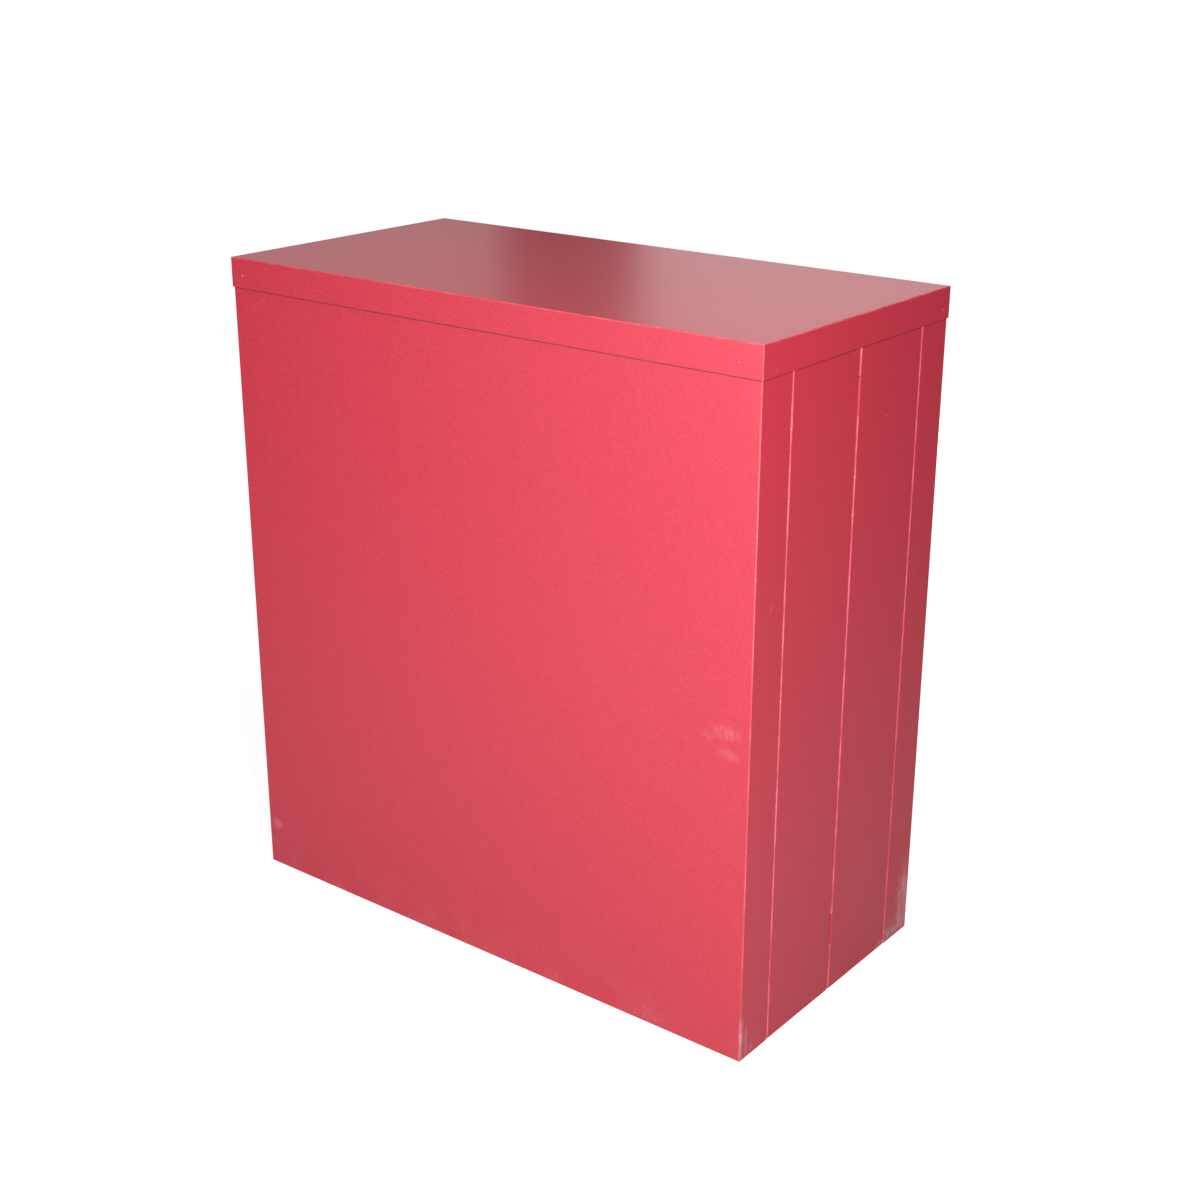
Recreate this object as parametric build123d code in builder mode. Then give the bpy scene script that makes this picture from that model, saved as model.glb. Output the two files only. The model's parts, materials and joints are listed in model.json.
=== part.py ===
# Folding sheet-steel box with a lift-off cap lid.
# Two wide flanged panels face each other. The ends are pairs of narrow leaves, hinged down the middle,
# that fold inwards like a gusset and bring the back panel up to the front one. A shelf swings up with them.
# Millimetres. +Z is up, the front panel faces -Y, the long side runs along X, and the origin is at
# the middle of the base.
import os
from build123d import *

# Overall size, over the lid
overall_length = 1000.0
overall_depth = 497.0
overall_height = 1070.0

# Sheet metal
sheet = 1.0
bend_radius = 1.5  # outside of each bend
lip_depth = 8.0  # returned edge of a leaf or of a panel's side
rim_width = 20.0  # returned top and bottom edges of a panel
return_width = 72.5  # side of a panel that wraps round the corner
seam_gap = 2.0  # between a panel's side and the leaf beside it
centre_gap = 2.8  # between the two leaves of an end
floor_gap = 1.0  # leaves hang this far off the floor and below the panel tops

# Lid
skirt_height = 47.0
lid_gap = 1.0  # skirt to body, all round
seat_gap = 0.3  # pieces of different bodies that rest on each other
lid_channel_depth = 15.0
lid_channel_count = 3
lid_channel_pitch = 330.0

# Butt hinges
knuckle_radius = 2.0
knuckle_length = 54.5
knuckle_count = 4
knuckle_gap = 0.3
pin_radius = 1.0
pin_fit = 0.05  # radial, a running fit
open_pin_fit = 0.3  # radial, in the hinge that closes the loop of leaves
pin_head_radius = 1.7
pin_head_height = 0.8
plate_thickness = 0.7
swing_gap = 0.3  # barrel to whatever turns past it
centre_stand = 0.4  # centre barrel axis, outside the leaves' faces
hinge_from_top = 100.0
hinge_from_floor = 109.0
notch_gap = 0.5  # centre barrel to the notch that it sits in
rivet_radius = 1.2
rivet_hole_fit = 0.05
rivet_head_radius = 2.0
rivet_head_top = 1.3
rivet_head_height = 0.8
rivet_spread = 16.0  # rivet from the middle of its hinge

# Pressed channels that stiffen the big flat faces
channel_brim = 14.0
channel_width = 34.0
panel_channel_depth = 20.0
panel_channel_inset = 110.0  # from the body's end to a channel's middle
leaf_channel_depth = 6.0
channel_end_gap = 30.0  # channel ends, from the rims

# Shelf
shelf_flange = 18.0
shelf_side_gap = 12.0  # to the leaves when they are folded in
shelf_front_gap = 0.5  # behind the shelf hinge axis
shelf_back_gap = 2.0
shelf_top_gap = 6.0  # raised shelf to the body's top
shelf_hinge_inset = 100.0
shelf_plate_reach = 20.0
shelf_rivet_reach = 12.0
rail_thickness = 1.5
rail_leg = 22.0
rail_drop = 20.0
rail_rise = 11.0  # front rail, above the shelf hinge axis
rail_end_gap = 20.0

# Worked out from the values above
body_length = overall_length - 2 * (sheet + lid_gap)
body_depth = overall_depth - 2 * (sheet + lid_gap)
body_height = overall_height - sheet - lid_channel_depth - seat_gap
half_length = body_length / 2
half_depth = body_depth / 2
leaf_pitch = half_depth - return_width - seam_gap / 2
side_hinge_x = half_length - lip_depth - knuckle_radius - swing_gap
centre_hinge_x = half_length + centre_stand
barrel_clear = knuckle_radius + swing_gap
notch_side = knuckle_radius + notch_gap
notch_reach = knuckle_radius + 2 * notch_gap
side_rivet_line = barrel_clear + (lip_depth - bend_radius) / 2
centre_rivet_line = centre_stand + (lip_depth + notch_reach) / 2
hinge_levels = (hinge_from_floor, body_height - hinge_from_top)
grip = plate_thickness + sheet
shelf_half = side_hinge_x - leaf_pitch - knuckle_radius - shelf_side_gap
shelf_hinge_y = -half_depth + sheet + rail_thickness + barrel_clear
shelf_front = shelf_hinge_y + shelf_front_gap
shelf_back = half_depth - sheet - shelf_back_gap
shelf_hinge_z = body_height - shelf_top_gap - (shelf_back - shelf_hinge_y)
shelf_top = shelf_hinge_z - barrel_clear
shelf_under = shelf_top - shelf_flange
rail_seat = shelf_under - seat_gap
shelf_hinge_x = shelf_half - shelf_hinge_inset

os.makedirs("parts", exist_ok=True)


def save(piece, name):
    piece.part.label = name
    export_step(piece.part, f"parts/{name}.step")


def block(xs, ys, zs, mode=Mode.ADD):
    """A box between two x, two y and two z values."""
    middle = (sum(xs) / 2, sum(ys) / 2, sum(zs) / 2)
    with Locations(middle):
        Box(abs(xs[1] - xs[0]), abs(ys[1] - ys[0]), abs(zs[1] - zs[0]), mode=mode)


def rivet_places(plate_planes, reach, face):
    """Where rivets go through a hinge plate: on its outer skin, looking through plate and sheet."""
    places = []
    for plane, side in plate_planes:
        for along in (-rivet_spread, rivet_spread):
            origin = plane.from_local_coords((reach, side * (face - plate_thickness), along))
            places.append(Plane(origin=origin, x_dir=plane.z_dir, z_dir=plane.y_dir * side))
    return places


def drill(places):
    """Clearance holes for rivets, through whatever the active part has there."""
    for place in places:
        with Locations(place.location):
            Cylinder(rivet_radius + rivet_hole_fit, 2 * (grip + 1), mode=Mode.SUBTRACT)


def rivets(name, places):
    standing = (Align.CENTER, Align.CENTER, Align.MIN)
    with BuildPart(*places) as group:
        Cylinder(rivet_radius, grip, align=standing)
        with Locations((0, 0, grip)):
            Cone(rivet_head_radius, rivet_head_top, rivet_head_height, align=standing)
    save(group, name)


def hinge_half(name, plate_planes, first, face, far, bore, rivet_line=0):
    """One half of each hinge of a seam: a plate and every second knuckle, bored for the pin."""
    pitch = knuckle_length / knuckle_count
    with BuildPart() as half:
        for plane, side in plate_planes:
            inner = face - plate_thickness
            with Locations(plane.location):
                with Locations(((barrel_clear + far) / 2, side * (inner + face) / 2, 0)):
                    Box(far - barrel_clear, plate_thickness, knuckle_length)
                for index in range(first, knuckle_count, 2):
                    level = -knuckle_length / 2 + (index + 0.5) * pitch
                    with Locations((0, 0, level)):
                        Cylinder(knuckle_radius, pitch - knuckle_gap)
                    with Locations((barrel_clear / 2, side * (inner + face) / 2, level)):
                        Box(barrel_clear, plate_thickness, pitch - knuckle_gap)
                Cylinder(bore, 2 * knuckle_length, mode=Mode.SUBTRACT)
        if rivet_line:
            drill(rivet_places(plate_planes, rivet_line, face))
    save(half, name)


def hinge_pins(name, planes):
    with BuildPart(*planes) as pins:
        Cylinder(pin_radius, knuckle_length + 2 * swing_gap)
        for end in (-1, 1):
            with Locations((0, 0, end * (knuckle_length + pin_head_height + swing_gap) / 2)):
                Cylinder(pin_head_radius, pin_head_height)
    save(pins, name)


def side_planes(side, seam):
    """Hinge frames of a panel-to-leaf seam: x outwards along the plates, z up the pin."""
    x = side * side_hinge_x
    y = seam * leaf_pitch
    return [Plane(origin=(x, y, z), x_dir=(side, 0, 0), z_dir=(0, 0, 1)) for z in hinge_levels]


def centre_planes(side):
    x = side * centre_hinge_x
    return [Plane(origin=(x, 0, z), x_dir=(-side, 0, 0), z_dir=(0, 0, 1)) for z in hinge_levels]


def facing(planes, world_y):
    """Each frame with the sign that puts its plate towards -Y or +Y."""
    return [(plane, 1 if plane.y_dir.Y * world_y > 0 else -1) for plane in planes]


def channel_sketch(depth):
    """Cross-section of a pressed channel, its brims on the x axis and its web at +y."""
    Rectangle(channel_width, depth, align=(Align.CENTER, Align.MIN))
    Rectangle(channel_width - 2 * sheet, depth - sheet, align=(Align.CENTER, Align.MIN), mode=Mode.SUBTRACT)
    for side in (-1, 1):
        with Locations((side * (channel_width + channel_brim - sheet) / 2, sheet / 2)):
            Rectangle(channel_brim + sheet, sheet)


seam_face = seam_gap / 2
centre_face = centre_gap / 2
side_plate_far = barrel_clear + lip_depth - bend_radius
centre_plate_far = centre_stand + lip_depth - swing_gap
sides = {"right": 1, "left": -1}
ends = {"front": -1, "back": 1}

# Wide panels, each a face, two returned sides with lips, and a rim at top and bottom
for end, sign in ends.items():
    side_rivets = []
    for side in sides.values():
        side_rivets += rivet_places(facing(side_planes(side, sign), sign), side_rivet_line, seam_face)
    mouth = sign * (half_depth - return_width)
    with BuildPart() as panel:
        block((-half_length, half_length), (sign * half_depth, mouth), (0, body_height))
        outside = panel.edges().group_by(Axis.Y)[0 if sign < 0 else -1]
        corners = panel.edges().filter_by(Axis.Z)
        fillet(outside + corners.group_by(Axis.Y)[-1 if sign < 0 else 0], bend_radius)
        block(
            (-half_length + sheet, half_length - sheet),
            (sign * (half_depth - sheet), mouth + sign * sheet),
            (sheet, body_height - sheet),
            Mode.SUBTRACT,
        )
        block(
            (-half_length + lip_depth, half_length - lip_depth),
            (mouth - sign, mouth + sign * 2 * sheet),
            (sheet, body_height - sheet),
            Mode.SUBTRACT,
        )
        block(
            (-half_length + rim_width, half_length - rim_width),
            (sign * (half_depth - rim_width), mouth - sign),
            (-1, body_height + 1),
            Mode.SUBTRACT,
        )
        drill(side_rivets)
    save(panel, f"{end}_panel")
    rivets(f"{end}_panel_rivets", side_rivets)

    with BuildPart() as channels:
        for side in sides.values():
            middle = side * (half_length - panel_channel_inset)
            foot = Plane(
                origin=(middle, sign * (half_depth - sheet), channel_end_gap),
                x_dir=(-sign, 0, 0),
                z_dir=(0, 0, 1),
            )
            with BuildSketch(foot):
                channel_sketch(panel_channel_depth)
            extrude(amount=body_height - 2 * channel_end_gap)
    save(channels, f"{end}_panel_channels")

# End leaves, shallow trays with their hollow side inwards
for side_name, side in sides.items():
    for end, sign in ends.items():
        near = sign * centre_gap / 2
        far = sign * (leaf_pitch - seam_gap / 2)
        edge_rivets = rivet_places(facing(side_planes(side, sign), -sign), side_rivet_line, seam_face)
        edge_rivets += rivet_places(facing(centre_planes(side), sign), centre_rivet_line, centre_face)
        with BuildPart() as leaf:
            block(
                (side * (half_length - lip_depth), side * half_length),
                (near, far),
                (floor_gap, body_height - floor_gap),
            )
            fillet(leaf.faces().sort_by(Axis.X)[-1 if side > 0 else 0].edges(), bend_radius)
            block(
                (side * (half_length - lip_depth - 1), side * (half_length - sheet)),
                (near + sign * sheet, far - sign * sheet),
                (floor_gap + sheet, body_height - floor_gap - sheet),
                Mode.SUBTRACT,
            )
            for level in hinge_levels:
                reach = knuckle_length / 2 + pin_head_height + 2 * swing_gap
                block(
                    (side * (half_length - notch_reach), side * (half_length + 1)),
                    (0, sign * notch_side),
                    (level - reach, level + reach),
                    Mode.SUBTRACT,
                )
            drill(edge_rivets)
        save(leaf, f"{side_name}_{end}_leaf")
        rivets(f"{side_name}_{end}_leaf_rivets", edge_rivets)

        with BuildPart() as channel:
            foot = Plane(
                origin=(side * (half_length - sheet), (near + far) / 2, channel_end_gap),
                x_dir=(0, side, 0),
                z_dir=(0, 0, 1),
            )
            with BuildSketch(foot):
                channel_sketch(leaf_channel_depth)
            extrude(amount=body_height - 2 * channel_end_gap)
        save(channel, f"{side_name}_{end}_leaf_channel")

        # Hinges between this leaf and its panel, barrels inside the box
        open_loop = side_name == "left" and end == "back"
        seam = side_planes(side, sign)
        panel_bore = pin_radius + (open_pin_fit if open_loop else pin_fit)
        prefix = f"{side_name}_{end}_hinge"
        leaf_bore = pin_radius + pin_fit
        panel_half = (f"{prefix}_panel_plates", facing(seam, sign), 0)
        leaf_half = (f"{prefix}_leaf_plates", facing(seam, -sign), 1)
        hinge_half(*panel_half, seam_face, side_plate_far, panel_bore, side_rivet_line)
        hinge_half(*leaf_half, seam_face, side_plate_far, leaf_bore, side_rivet_line)
        hinge_pins(f"{prefix}_pins", seam)

        # This leaf's half of the centre hinges, barrels outside
        first = 0 if sign < 0 else 1
        centre_half = (f"{side_name}_centre_hinge_{end}_plates", facing(centre_planes(side), sign), first)
        hinge_half(*centre_half, centre_face, centre_plate_far, leaf_bore, centre_rivet_line)
    hinge_pins(f"{side_name}_centre_hinge_pins", centre_planes(side))

# Shelf, with its two rails and its hinges
shelf_planes = [
    Plane(origin=(x, shelf_hinge_y, shelf_hinge_z), x_dir=(0, 1, 0), z_dir=(1, 0, 0))
    for x in (-shelf_hinge_x, shelf_hinge_x)
]
rail_planes = [
    Plane(origin=(x, shelf_hinge_y, shelf_hinge_z), x_dir=(0, 0, 1), z_dir=(1, 0, 0))
    for x in (-shelf_hinge_x, shelf_hinge_x)
]
shelf_plates = [(plane, -1) for plane in shelf_planes]
rail_plates = [(plane, 1) for plane in rail_planes]
shelf_rivets = rivet_places(shelf_plates, shelf_rivet_reach, barrel_clear)

with BuildPart() as shelf:
    block((-shelf_half, shelf_half), (shelf_front, shelf_back), (shelf_under, shelf_top))
    fillet(shelf.faces().sort_by(Axis.Z)[-1].edges(), bend_radius)
    block(
        (-shelf_half + sheet, shelf_half - sheet),
        (shelf_front + sheet, shelf_back - sheet),
        (shelf_under - 1, shelf_top - sheet),
        Mode.SUBTRACT,
    )
    drill(shelf_rivets)
save(shelf, "shelf")
rivets("shelf_rivets", shelf_rivets)

with BuildPart() as front_rail:
    wall = -half_depth + sheet
    block(
        (-shelf_half + rail_end_gap, shelf_half - rail_end_gap),
        (wall, wall + rail_thickness),
        (rail_seat - rail_thickness, shelf_hinge_z + rail_rise),
    )
    block(
        (-shelf_half + rail_end_gap, shelf_half - rail_end_gap),
        (wall, wall + rail_leg),
        (rail_seat - rail_thickness, rail_seat),
    )
save(front_rail, "shelf_front_rail")

with BuildPart() as back_rail:
    wall = half_depth - sheet
    block(
        (-shelf_half + rail_end_gap, shelf_half - rail_end_gap),
        (wall - rail_thickness, wall),
        (rail_seat - rail_drop, rail_seat),
    )
    block(
        (-shelf_half + rail_end_gap, shelf_half - rail_end_gap),
        (wall - rail_leg, wall),
        (rail_seat - rail_thickness, rail_seat),
    )
save(back_rail, "shelf_back_rail")

shelf_half_hinge = ("shelf_hinge_shelf_plates", shelf_plates, 1)
rail_half_hinge = ("shelf_hinge_rail_plates", rail_plates, 0)
shelf_bore = pin_radius + pin_fit
hinge_half(*shelf_half_hinge, barrel_clear, shelf_plate_reach, shelf_bore, shelf_rivet_reach)
hinge_half(*rail_half_hinge, barrel_clear, rail_rise - swing_gap, shelf_bore)
hinge_pins("shelf_hinge_pins", shelf_planes)

# Lid, a cap with a plain skirt that laps the outside of the body
with BuildPart() as lid:
    block(
        (-overall_length / 2, overall_length / 2),
        (-overall_depth / 2, overall_depth / 2),
        (overall_height - skirt_height, overall_height),
    )
    top = lid.faces().sort_by(Axis.Z)[-1].edges()
    fillet(top + lid.edges().filter_by(Axis.Z), bend_radius)
    block(
        (-overall_length / 2 + sheet, overall_length / 2 - sheet),
        (-overall_depth / 2 + sheet, overall_depth / 2 - sheet),
        (overall_height - skirt_height - 1, overall_height - sheet),
        Mode.SUBTRACT,
    )
save(lid, "lid")

with BuildPart() as lid_channels:
    for index in range(lid_channel_count):
        x = (index - (lid_channel_count - 1) / 2) * lid_channel_pitch
        head = Plane(origin=(x, -half_depth, overall_height - sheet), x_dir=(1, 0, 0), z_dir=(0, 1, 0))
        with BuildSketch(head):
            channel_sketch(lid_channel_depth)
        extrude(amount=body_depth)
save(lid_channels, "lid_channels")
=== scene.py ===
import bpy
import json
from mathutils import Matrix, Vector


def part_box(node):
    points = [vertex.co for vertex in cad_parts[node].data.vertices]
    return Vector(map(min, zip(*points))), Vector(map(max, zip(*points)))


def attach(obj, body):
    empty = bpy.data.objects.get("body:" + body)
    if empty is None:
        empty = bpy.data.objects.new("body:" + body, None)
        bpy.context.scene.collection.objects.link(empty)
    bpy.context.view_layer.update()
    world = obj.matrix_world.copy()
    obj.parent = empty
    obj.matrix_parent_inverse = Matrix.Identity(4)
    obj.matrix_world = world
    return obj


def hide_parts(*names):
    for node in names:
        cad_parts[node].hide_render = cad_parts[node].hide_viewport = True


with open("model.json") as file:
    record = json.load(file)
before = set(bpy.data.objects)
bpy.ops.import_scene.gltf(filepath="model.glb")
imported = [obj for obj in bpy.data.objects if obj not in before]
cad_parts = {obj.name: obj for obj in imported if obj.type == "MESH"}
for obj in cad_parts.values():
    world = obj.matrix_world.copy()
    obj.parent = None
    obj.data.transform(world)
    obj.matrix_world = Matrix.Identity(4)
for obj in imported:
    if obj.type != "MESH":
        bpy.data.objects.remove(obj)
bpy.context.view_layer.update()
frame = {"nodes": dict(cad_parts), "record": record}

import json
import math

import bmesh
import bpy
from mathutils import Matrix, Vector, noise

# Folding red sheet-steel box with a cap lid. Metres, +Z up, the front panel faces -Y.


def linkObject(name, mesh):
    piece = bpy.data.objects.new(name, mesh)
    bpy.context.scene.collection.objects.link(piece)
    return piece


def applyModifiers(piece):
    graph = bpy.context.evaluated_depsgraph_get()
    solid = bpy.data.meshes.new_from_object(piece.evaluated_get(graph))
    piece.modifiers.clear()
    piece.data = solid
    return piece


def newGroup(name, inputs, outputs):
    group = bpy.data.node_groups.new(name, "ShaderNodeTree")
    for socketName, kind, value in inputs:
        socket = group.interface.new_socket(socketName, in_out="INPUT", socket_type=kind)
        if value is not None:
            socket.default_value = value
    for socketName, kind in outputs:
        group.interface.new_socket(socketName, in_out="OUTPUT", socket_type=kind)
    return group, group.nodes.new("NodeGroupInput"), group.nodes.new("NodeGroupOutput")


def addMath(tree, operation, first, second=None, clamp=False):
    node = tree.nodes.new("ShaderNodeMath")
    node.operation = operation
    node.use_clamp = clamp
    for index, value in enumerate((first, second)):
        if value is None:
            continue
        if isinstance(value, (int, float)):
            node.inputs[index].default_value = value
        else:
            tree.links.new(value, node.inputs[index])
    return node.outputs[0]


def addNoise(tree, vector, scale, detail=3.0, roughness=0.5):
    node = tree.nodes.new("ShaderNodeTexNoise")
    node.inputs["Detail"].default_value = detail
    node.inputs["Roughness"].default_value = roughness
    if isinstance(scale, (int, float)):
        node.inputs["Scale"].default_value = scale
    else:
        tree.links.new(scale, node.inputs["Scale"])
    tree.links.new(vector, node.inputs["Vector"])
    return node.outputs["Fac"]


def addRange(tree, value, low, high, toLow=0.0, toHigh=1.0):
    node = tree.nodes.new("ShaderNodeMapRange")
    node.interpolation_type = "SMOOTHSTEP"
    tree.links.new(value, node.inputs["Value"])
    ends = {"From Min": low, "From Max": high, "To Min": toLow, "To Max": toHigh}
    for socketName, number in ends.items():
        if isinstance(number, (int, float)):
            node.inputs[socketName].default_value = number
        else:
            tree.links.new(number, node.inputs[socketName])
    return node.outputs["Result"]


def addMapping(tree, vector, scale=(1, 1, 1), rotation=(0, 0, 0)):
    node = tree.nodes.new("ShaderNodeMapping")
    node.inputs["Scale"].default_value = scale
    node.inputs["Rotation"].default_value = rotation
    tree.links.new(vector, node.inputs["Vector"])
    return node.outputs["Vector"]


def makeOrangePeel():
    # cured powder: fine orange peel over a very slow ripple
    group, source, sink = newGroup(
        "orangePeel",
        [("Vector", "NodeSocketVector", None), ("Grain", "NodeSocketFloat", 620.0),
         ("Depth", "NodeSocketFloat", 1.0)],
        [("Height", "NodeSocketFloat"), ("Mottle", "NodeSocketFloat")],
    )
    vector = source.outputs["Vector"]
    fine = addNoise(group, vector, source.outputs["Grain"], detail=2.0, roughness=0.45)
    broad = addNoise(group, vector, 95.0, detail=1.0)
    both = addMath(group, "ADD", fine, addMath(group, "MULTIPLY", broad, 0.6))
    height = addMath(group, "MULTIPLY", both, source.outputs["Depth"])
    group.links.new(height, sink.inputs["Height"])
    speck = addNoise(group, vector, 420.0, detail=3.0, roughness=0.7)
    group.links.new(addRange(group, speck, 0.36, 0.64), sink.inputs["Mottle"])
    return group


def makeScratches():
    # hair scratches: long thin crossings of two stretched noises, kept to patches
    group, source, sink = newGroup(
        "hairScratches",
        [("Vector", "NodeSocketVector", None), ("Amount", "NodeSocketFloat", 0.5)],
        [("Mask", "NodeSocketFloat")],
    )
    vector = source.outputs["Vector"]
    lines = None
    for turn, stretch in (((0.3, 0.5, 0.2), (420, 14, 420)), ((1.1, 0.2, 0.9), (16, 380, 380))):
        turned = addMapping(group, vector, rotation=turn)
        stretched = addMapping(group, turned, scale=stretch)
        line = addRange(group, addNoise(group, stretched, 1.0, detail=1.0), 0.735, 0.79)
        lines = line if lines is None else addMath(group, "MAXIMUM", lines, line)
    cloud = addRange(group, addNoise(group, vector, 7.0, detail=2.0), 0.52, 0.70)
    kept = addMath(group, "MULTIPLY", lines, cloud)
    mask = addMath(group, "MULTIPLY", kept, source.outputs["Amount"], True)
    group.links.new(mask, sink.inputs["Mask"])
    return group


def makeEdgeWearAndHighlight():
    # rubbed and chipped bends, with a painted highlight along them: where the rounded-off normal
    # leaves the true one
    group, source, sink = newGroup(
        "edgeWearAndHighlight",
        [("Vector", "NodeSocketVector", None), ("Width", "NodeSocketFloat", 0.002),
         ("Amount", "NodeSocketFloat", 0.5)],
        [("RubAndHighlight", "NodeSocketFloat"), ("Chip", "NodeSocketFloat")],
    )
    bevel = group.nodes.new("ShaderNodeBevel")
    bevel.samples = 4
    group.links.new(source.outputs["Width"], bevel.inputs["Radius"])
    geometry = group.nodes.new("ShaderNodeNewGeometry")
    dot = group.nodes.new("ShaderNodeVectorMath")
    dot.operation = "DOT_PRODUCT"
    group.links.new(bevel.outputs["Normal"], dot.inputs[0])
    group.links.new(geometry.outputs["True Normal"], dot.inputs[1])
    edge = addRange(group, dot.outputs["Value"], 0.995, 0.80)
    vector = source.outputs["Vector"]
    cloud = addRange(group, addNoise(group, vector, 24.0, detail=3.0), 0.42, 0.62)
    patchy = addMath(group, "MULTIPLY", edge, cloud)
    rubAndHighlight = addMath(group, "MULTIPLY", patchy, source.outputs["Amount"], True)
    group.links.new(rubAndHighlight, sink.inputs["RubAndHighlight"])
    flake = addRange(group, addNoise(group, vector, 210.0, detail=3.0, roughness=0.6), 0.60, 0.64)
    group.links.new(addMath(group, "MULTIPLY", rubAndHighlight, flake, True), sink.inputs["Chip"])
    return group


def makeBendRubAndHighlight():
    # paint rubbed thin along a folded box's edges, with a painted highlight along the same bends,
    # found from the box's own corners
    group, source, sink = newGroup(
        "bendRubAndHighlight",
        [("Vector", "NodeSocketVector", None), ("Low", "NodeSocketVector", (0.0, 0.0, 0.0)),
         ("High", "NodeSocketVector", (1.0, 1.0, 1.0)), ("Width", "NodeSocketFloat", 0.0026),
         ("Amount", "NodeSocketFloat", 0.5)],
        [("RubAndHighlight", "NodeSocketFloat"), ("Chip", "NodeSocketFloat")],
    )
    vector = source.outputs["Vector"]
    gaps = []
    for limit in ("Low", "High"):
        away = group.nodes.new("ShaderNodeVectorMath")
        away.operation = "SUBTRACT"
        group.links.new(vector, away.inputs[0])
        group.links.new(source.outputs[limit], away.inputs[1])
        parts = group.nodes.new("ShaderNodeSeparateXYZ")
        group.links.new(away.outputs["Vector"], parts.inputs[0])
        gaps.append([addMath(group, "ABSOLUTE", parts.outputs[axis]) for axis in "XYZ"])
    near = []
    for lowGap, highGap in zip(*gaps):
        gap = addMath(group, "MINIMUM", lowGap, highGap)
        share = addMath(group, "DIVIDE", gap, source.outputs["Width"])
        near.append(addRange(group, share, 1.0, 0.0))
    pairs = [
        addMath(group, "MULTIPLY", near[first], near[second])
        for first, second in ((0, 1), (1, 2), (0, 2))
    ]
    edge = addMath(group, "MAXIMUM", addMath(group, "MAXIMUM", pairs[0], pairs[1]), pairs[2])
    cloud = addRange(group, addNoise(group, vector, 26.0, detail=3.0), 0.36, 0.62, 0.35, 1.0)
    patchy = addMath(group, "MULTIPLY", edge, cloud)
    rubAndHighlight = addMath(group, "MULTIPLY", patchy, source.outputs["Amount"], True)
    group.links.new(rubAndHighlight, sink.inputs["RubAndHighlight"])
    flake = addRange(group, addNoise(group, vector, 240.0, detail=3.0, roughness=0.6), 0.66, 0.70)
    group.links.new(addMath(group, "MULTIPLY", rubAndHighlight, flake, True), sink.inputs["Chip"])
    return group


def makeSmudgeAndHighlight():
    # one pale patch, for a rubbed smudge and for a painted highlight, a ragged ellipse round a
    # centre
    group, source, sink = newGroup(
        "rubbedPatchAndHighlight",
        [("Vector", "NodeSocketVector", None), ("Centre", "NodeSocketVector", (0.0, 0.0, 0.0)),
         ("Size", "NodeSocketVector", (0.02, 0.02, 0.02)), ("Strength", "NodeSocketFloat", 0.5)],
        [("Mask", "NodeSocketFloat")],
    )
    away = group.nodes.new("ShaderNodeVectorMath")
    away.operation = "SUBTRACT"
    group.links.new(source.outputs["Vector"], away.inputs[0])
    group.links.new(source.outputs["Centre"], away.inputs[1])
    scaled = group.nodes.new("ShaderNodeVectorMath")
    scaled.operation = "DIVIDE"
    group.links.new(away.outputs["Vector"], scaled.inputs[0])
    group.links.new(source.outputs["Size"], scaled.inputs[1])
    length = group.nodes.new("ShaderNodeVectorMath")
    length.operation = "LENGTH"
    group.links.new(scaled.outputs["Vector"], length.inputs[0])
    ragged = addNoise(group, source.outputs["Vector"], 70.0, detail=4.0, roughness=0.7)
    reach = addMath(group, "ADD", length.outputs["Value"], addMath(group, "MULTIPLY", ragged, 1.3))
    inside = addRange(group, reach, 1.6, 0.85)
    drawn = addMapping(group, source.outputs["Vector"], scale=(1.0, 1.0, 0.22))
    streak = addRange(group, addNoise(group, drawn, 260.0, detail=3.0), 0.35, 0.65, 0.25, 1.0)
    both = addMath(group, "MULTIPLY", inside, streak)
    mask = addMath(group, "MULTIPLY", both, source.outputs["Strength"], True)
    group.links.new(mask, sink.inputs["Mask"])
    return group


def makeFloorScuff():
    # knocks low down: chips and grey dirt that thin out with height
    group, source, sink = newGroup(
        "floorScuff",
        [("Vector", "NodeSocketVector", None), ("Height", "NodeSocketFloat", 0.1),
         ("Amount", "NodeSocketFloat", 0.5)],
        [("Chip", "NodeSocketFloat"), ("Dirt", "NodeSocketFloat")],
    )
    parts = group.nodes.new("ShaderNodeSeparateXYZ")
    group.links.new(source.outputs["Vector"], parts.inputs[0])
    low = addRange(group, parts.outputs["Z"], source.outputs["Height"], 0.0)
    vector = source.outputs["Vector"]
    tall = addMapping(group, vector, scale=(1.0, 1.0, 0.35))
    flake = addNoise(group, tall, 230.0, detail=4.0, roughness=0.65)
    cloud = addNoise(group, vector, 17.0, detail=2.0)
    level = addMath(group, "ADD", flake, addMath(group, "MULTIPLY", cloud, 0.55))
    level = addMath(group, "ADD", level, addMath(group, "MULTIPLY", low, 0.16))
    chips = addRange(group, level, 1.085, 1.11)
    chips = addMath(group, "MULTIPLY", chips, low)
    dirt = addMath(group, "MULTIPLY", low, addRange(group, cloud, 0.35, 0.7))
    for output, mask in (("Chip", chips), ("Dirt", dirt)):
        scaled = addMath(group, "MULTIPLY", mask, source.outputs["Amount"], True)
        group.links.new(scaled, sink.inputs[output])
    return group


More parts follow.
